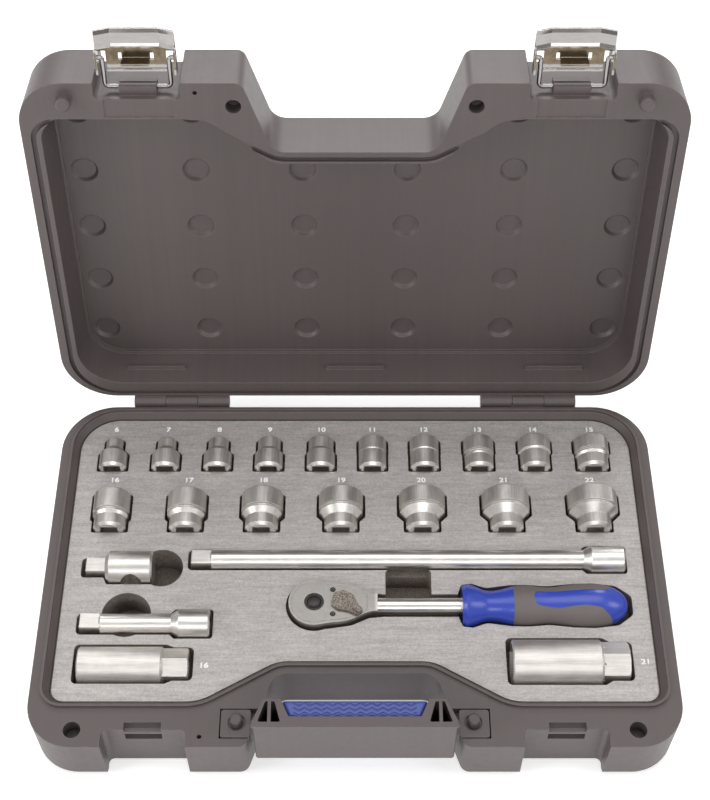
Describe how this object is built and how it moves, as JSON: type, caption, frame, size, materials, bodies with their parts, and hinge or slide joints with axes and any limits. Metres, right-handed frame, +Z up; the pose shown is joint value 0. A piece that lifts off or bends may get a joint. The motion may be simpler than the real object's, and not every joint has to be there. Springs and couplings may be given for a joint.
{
  "type": "socket wrench set in case",
  "caption": "Socket wrench set in an open moulded case: hinged lid with draw latches, carrying handle, inlay with sockets, extension bars, tee adapter and reversible ratchet.",
  "frame": {"origin": "under the centre of the base, in the plane the case stands on", "axes": "+Z up, +X along the case's long side, -Y towards the handle, +Y towards the hinge"},
  "size_m": [0.362, 0.3091, 0.2924],
  "materials": {
    "case_plastic": "grained moulded plastic",
    "foam": "cut foam",
    "inlay_face": "brushed face",
    "satin_chrome": "satin",
    "bright_steel": "bright pressed steel",
    "dark_steel": "blackened",
    "blue_plastic": "blue moulded",
    "grey_soft_grip": "grey soft grip",
    "sleeve_rubber": "black rubber"
  },
  "bodies": {
    "case_base": {"base_shell": "case_plastic", "hinge_pins": "bright_steel", "handle_frame": "case_plastic", "handle_grip": "blue_plastic", "handle_pins": "case_plastic", "inlay_foam_sheet": "foam", "inlay_foam_front": "foam", "inlay_foam_rear": "foam", "inlay_face": "inlay_face"},
    "case_lid": {"lid_shell": "case_plastic"},
    "latch_left_bail": {"latch_left_bail": "bright_steel"},
    "latch_left_lever": {"latch_left_lever": "bright_steel"},
    "latch_right_bail": {"latch_right_bail": "bright_steel"},
    "latch_right_lever": {"latch_right_lever": "bright_steel"},
    "socket_06": {"socket_06": "satin_chrome"},
    "socket_07": {"socket_07": "satin_chrome"},
    "socket_08": {"socket_08": "satin_chrome"},
    "socket_09": {"socket_09": "satin_chrome"},
    "socket_10": {"socket_10": "satin_chrome"},
    "socket_11": {"socket_11": "satin_chrome"},
    "socket_12": {"socket_12": "satin_chrome"},
    "socket_13": {"socket_13": "satin_chrome"},
    "socket_14": {"socket_14": "satin_chrome"},
    "socket_15": {"socket_15": "satin_chrome"},
    "socket_16": {"socket_16": "satin_chrome"},
    "socket_17": {"socket_17": "satin_chrome"},
    "socket_18": {"socket_18": "satin_chrome"},
    "socket_19": {"socket_19": "satin_chrome"},
    "socket_20": {"socket_20": "satin_chrome"},
    "socket_21": {"socket_21": "satin_chrome"},
    "socket_22": {"socket_22": "satin_chrome"},
    "spark_plug_socket_16": {"spark_plug_socket_16": "satin_chrome", "spark_plug_sleeve_16": "sleeve_rubber"},
    "spark_plug_socket_21": {"spark_plug_socket_21": "satin_chrome", "spark_plug_sleeve_21": "sleeve_rubber"},
    "extension_long": {"extension_long": "satin_chrome", "extension_long_ball": "bright_steel"},
    "extension_short": {"extension_short": "satin_chrome", "extension_short_ball": "bright_steel"},
    "tee_adapter": {"tee_adapter": "satin_chrome", "tee_adapter_ball": "bright_steel"},
    "ratchet": {"ratchet_body": "satin_chrome", "ratchet_cover": "satin_chrome", "ratchet_cover_screws": "dark_steel", "ratchet_grip_core": "blue_plastic", "ratchet_grip_overlay": "grey_soft_grip"},
    "ratchet_drive": {"ratchet_drive_gear": "dark_steel", "ratchet_drive_ball": "bright_steel", "ratchet_button_spring": "bright_steel"},
    "ratchet_button": {"ratchet_release_button": "dark_steel"},
    "ratchet_reverser": {"ratchet_reversing_lever": "dark_steel"},
    "ratchet_pawl": {"ratchet_pawl": "dark_steel"}
  },
  "joints": [
    {"name": "lid_hinge", "type": "hinge", "parent": "case_base", "child": "case_lid", "pos_m": [0, 0.1187, 0.039], "axis": [-1, 0, 0], "range_deg": [-99.8, 0]},
    {"name": "latch_left_bail_hinge", "type": "hinge", "parent": "case_lid", "child": "latch_left_bail", "pos_m": [-0.1158, 0.16595, 0.25968], "axis": [-1, 0, 0], "range_deg": [-90, 15]},
    {"name": "latch_left_lever_hinge", "type": "hinge", "parent": "latch_left_bail", "child": "latch_left_lever", "pos_m": [-0.1158, 0.16895, 0.27702], "axis": [-1, 0, 0], "range_deg": [0, 100]},
    {"name": "latch_right_bail_hinge", "type": "hinge", "parent": "case_lid", "child": "latch_right_bail", "pos_m": [0.1158, 0.16595, 0.25968], "axis": [-1, 0, 0], "range_deg": [-90, 15]},
    {"name": "latch_right_lever_hinge", "type": "hinge", "parent": "latch_right_bail", "child": "latch_right_lever", "pos_m": [0.1158, 0.16895, 0.27702], "axis": [-1, 0, 0], "range_deg": [0, 100]},
    {"name": "socket_06_lift", "type": "slide", "parent": "case_base", "child": "socket_06", "axis": [0, 0, 1], "range_m": [0, 0.06]},
    {"name": "socket_07_lift", "type": "slide", "parent": "case_base", "child": "socket_07", "axis": [0, 0, 1], "range_m": [0, 0.06]},
    {"name": "socket_08_lift", "type": "slide", "parent": "case_base", "child": "socket_08", "axis": [0, 0, 1], "range_m": [0, 0.06]},
    {"name": "socket_09_lift", "type": "slide", "parent": "case_base", "child": "socket_09", "axis": [0, 0, 1], "range_m": [0, 0.06]},
    {"name": "socket_10_lift", "type": "slide", "parent": "case_base", "child": "socket_10", "axis": [0, 0, 1], "range_m": [0, 0.06]},
    {"name": "socket_11_lift", "type": "slide", "parent": "case_base", "child": "socket_11", "axis": [0, 0, 1], "range_m": [0, 0.06]},
    {"name": "socket_12_lift", "type": "slide", "parent": "case_base", "child": "socket_12", "axis": [0, 0, 1], "range_m": [0, 0.06]},
    {"name": "socket_13_lift", "type": "slide", "parent": "case_base", "child": "socket_13", "axis": [0, 0, 1], "range_m": [0, 0.06]},
    {"name": "socket_14_lift", "type": "slide", "parent": "case_base", "child": "socket_14", "axis": [0, 0, 1], "range_m": [0, 0.06]},
    {"name": "socket_15_lift", "type": "slide", "parent": "case_base", "child": "socket_15", "axis": [0, 0, 1], "range_m": [0, 0.06]},
    {"name": "socket_16_lift", "type": "slide", "parent": "case_base", "child": "socket_16", "axis": [0, 0, 1], "range_m": [0, 0.06]},
    {"name": "socket_17_lift", "type": "slide", "parent": "case_base", "child": "socket_17", "axis": [0, 0, 1], "range_m": [0, 0.06]},
    {"name": "socket_18_lift", "type": "slide", "parent": "case_base", "child": "socket_18", "axis": [0, 0, 1], "range_m": [0, 0.06]},
    {"name": "socket_19_lift", "type": "slide", "parent": "case_base", "child": "socket_19", "axis": [0, 0, 1], "range_m": [0, 0.06]},
    {"name": "socket_20_lift", "type": "slide", "parent": "case_base", "child": "socket_20", "axis": [0, 0, 1], "range_m": [0, 0.06]},
    {"name": "socket_21_lift", "type": "slide", "parent": "case_base", "child": "socket_21", "axis": [0, 0, 1], "range_m": [0, 0.06]},
    {"name": "socket_22_lift", "type": "slide", "parent": "case_base", "child": "socket_22", "axis": [0, 0, 1], "range_m": [0, 0.06]},
    {"name": "spark_plug_socket_16_lift", "type": "slide", "parent": "case_base", "child": "spark_plug_socket_16", "axis": [0, 0, 1], "range_m": [0, 0.06]},
    {"name": "spark_plug_socket_21_lift", "type": "slide", "parent": "case_base", "child": "spark_plug_socket_21", "axis": [0, 0, 1], "range_m": [0, 0.06]},
    {"name": "extension_long_lift", "type": "slide", "parent": "case_base", "child": "extension_long", "axis": [0, 0, 1], "range_m": [0, 0.06]},
    {"name": "extension_short_lift", "type": "slide", "parent": "case_base", "child": "extension_short", "axis": [0, 0, 1], "range_m": [0, 0.06]},
    {"name": "tee_adapter_lift", "type": "slide", "parent": "case_base", "child": "tee_adapter", "axis": [0, 0, 1], "range_m": [0, 0.06]},
    {"name": "ratchet_lift", "type": "slide", "parent": "case_base", "child": "ratchet", "axis": [0, 0, 1], "range_m": [0, 0.06]},
    {"name": "ratchet_drive_spin", "type": "hinge", "parent": "ratchet", "child": "ratchet_drive", "pos_m": [-0.0236, -0.025, 0.034], "axis": [0, 0, 1], "continuous": true},
    {"name": "release_button_press", "type": "slide", "parent": "ratchet_drive", "child": "ratchet_button", "axis": [0, 0, -1], "range_m": [0, 0.002], "stiffness_N_per_m": 800, "springref_m": -0.001, "deforming": ["ratchet_button_spring"]},
    {"name": "reversing_lever_swing", "type": "hinge", "parent": "ratchet", "child": "ratchet_reverser", "pos_m": [-0.0066, -0.025, 0.0395], "axis": [0, 0, 1], "range_deg": [0, 80]},
    {"name": "pawl_rock", "type": "hinge", "parent": "ratchet", "child": "ratchet_pawl", "pos_m": [-0.0066, -0.025, 0.034], "axis": [0, 0, 1], "range_deg": [-9, 0]}
  ],
  "couplings": [
    {"joint": "pawl_rock", "follows": "reversing_lever_swing", "ratio": -0.1125}
  ]
}
